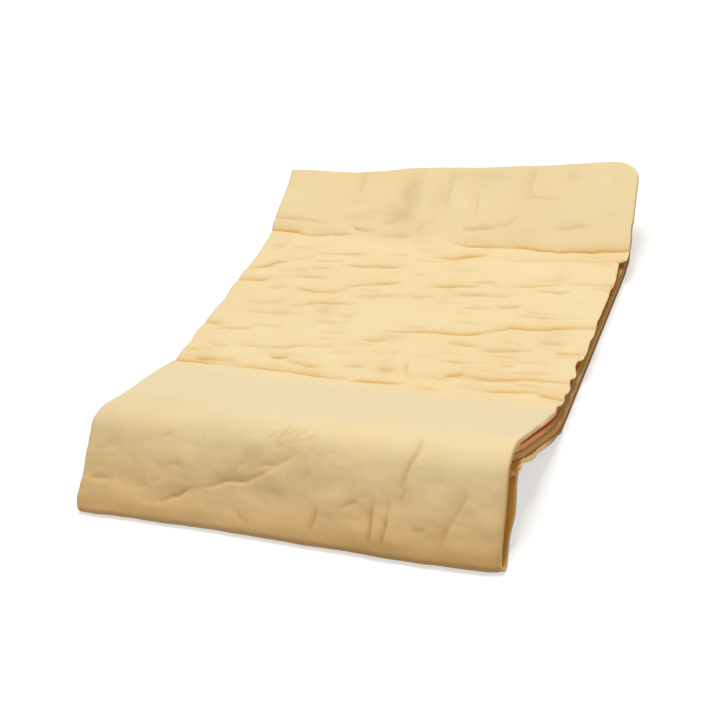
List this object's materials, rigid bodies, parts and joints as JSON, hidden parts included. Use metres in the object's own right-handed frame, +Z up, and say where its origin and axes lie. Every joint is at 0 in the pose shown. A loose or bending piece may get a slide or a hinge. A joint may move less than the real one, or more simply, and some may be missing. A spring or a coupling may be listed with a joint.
{
  "type": "synthetic chamois cloth",
  "caption": "Soft synthetic chamois cloth folded in quarters, lying in a low hump with its rear flap curling up; the upper leaf opens on the front fold.",
  "frame": {"origin": "bottom centre of the folded cloth's box, on the table it lies on", "axes": "+X towards the cut side edges, +Y from the front fold to the rear flap, +Z up"},
  "size_m": [0.1644, 0.1984, 0.0288],
  "materials": {
    "chamois_face": "soft matt foam, fine pores and creases",
    "chamois_inside": "soft matt foam, warmer where it lies in shade"
  },
  "bodies": {
    "lower_leaf": {"lower_outer_ply": "chamois_face", "lower_inner_ply": "chamois_inside", "lower_side_fold": "chamois_face", "outer_front_fold": "chamois_face", "inner_front_fold": "chamois_inside"},
    "upper_leaf": {"upper_outer_ply": "chamois_face", "upper_inner_ply": "chamois_inside", "upper_side_fold": "chamois_face"}
  },
  "joints": [
    {"name": "front_fold", "type": "hinge", "parent": "lower_leaf", "child": "upper_leaf", "pos_m": [0, -0.0958, 0.00636], "axis": [1, 0, 0], "range_deg": [0, 132]}
  ]
}
